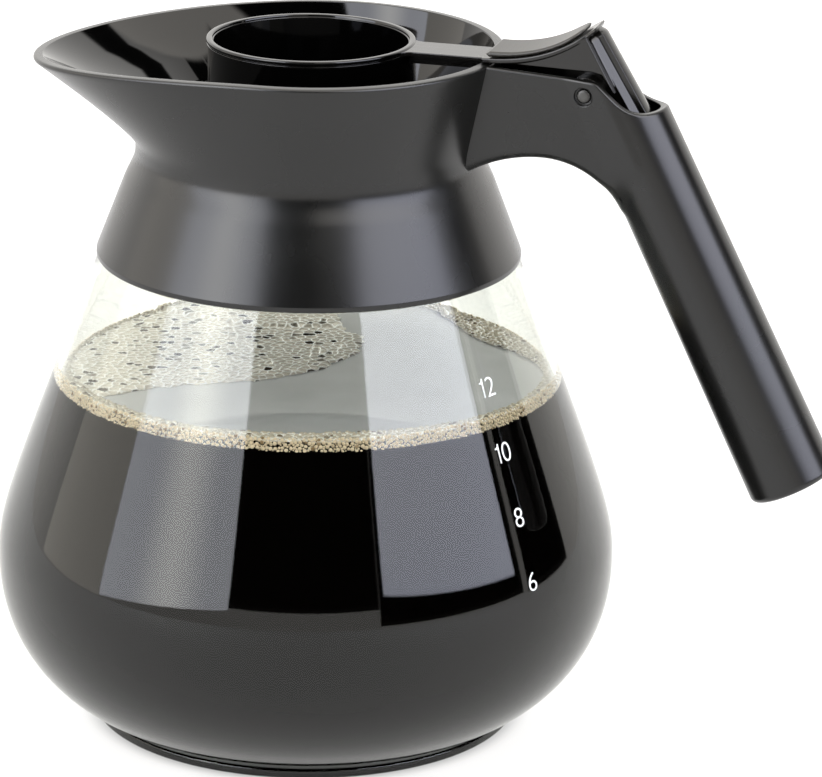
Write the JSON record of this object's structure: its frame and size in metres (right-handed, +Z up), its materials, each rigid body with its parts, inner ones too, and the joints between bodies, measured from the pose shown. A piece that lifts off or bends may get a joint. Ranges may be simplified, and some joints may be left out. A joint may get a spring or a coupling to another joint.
{
  "type": "glass coffee decanter",
  "caption": "Globe-shaped glass coffee decanter with a black pouring collar, a slanted hollow side handle and a thumb-lever lid with a drip cup.",
  "frame": {"origin": "centre of the underside of the glass foot, on the jug's axis, at the level of the table", "axes": "+Z up along the jug's axis, +X towards the handle, -X towards the spout, the handle plane is Y = 0"},
  "size_m": [0.2163, 0.159, 0.1873],
  "materials": {
    "glass": "clear gloss",
    "silicone": "matte",
    "black_plastic": "satin",
    "gloss_black": "gloss",
    "lever_plastic": "satin",
    "pad_rubber": "matte",
    "pin_metal": "dull"
  },
  "bodies": {
    "jug": {"glass_jug": "glass", "neck_gasket": "silicone", "neck_clamp_ring": "black_plastic", "pour_collar": "black_plastic", "handle": "black_plastic", "handle_end_cap": "black_plastic", "hinge_pin": "pin_metal"},
    "lid": {"lid_lever": "lever_plastic", "lid_cup": "gloss_black", "lid_closure_disc": "gloss_black", "thumb_pad": "pad_rubber"}
  },
  "joints": [
    {"name": "lid_hinge", "type": "hinge", "parent": "jug", "child": "lid", "pos_m": [0.0724, 0, 0.1707], "axis": [0, 1, 0], "range_deg": [0, 45]}
  ]
}
